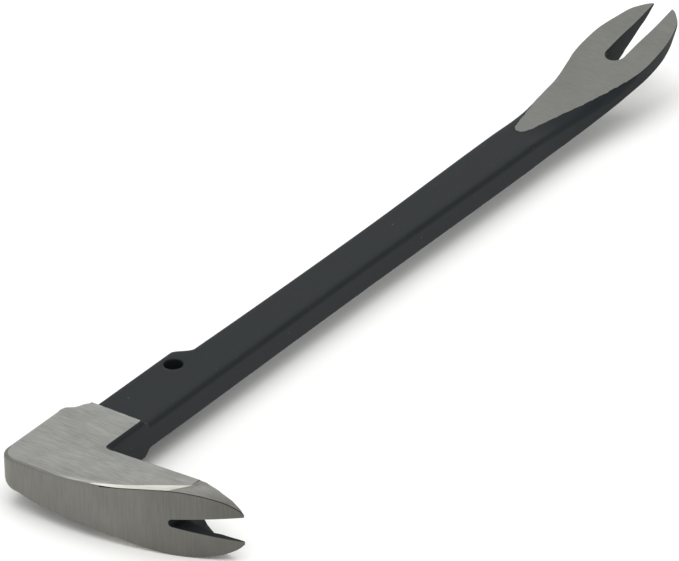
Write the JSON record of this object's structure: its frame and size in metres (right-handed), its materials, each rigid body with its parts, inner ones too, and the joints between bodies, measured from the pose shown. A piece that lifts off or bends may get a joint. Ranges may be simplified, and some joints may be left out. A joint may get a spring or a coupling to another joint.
{
  "type": "pry bar",
  "caption": "Forged steel nail-pulling pry bar with a hooked claw at one end, a slightly upturned straight claw at the other, and a hanging hole in its neck.",
  "frame": {"origin": "under the middle of the bar's bounding box, level with the lower lip of the hooked claw", "axes": "+X along the shank from the hooked head to the straight claw's tips, -Y the way the hooked claw points, +Z the side the straight claw bends towards"},
  "size_m": [0.25, 0.062, 0.0193],
  "materials": {
    "forged_steel": "black oxide on the shank, satin ground bare steel on the hooked head and on the straight claw's upper face"
  },
  "bodies": {
    "root": {"forged_bar": "forged_steel"}
  },
  "joints": []
}
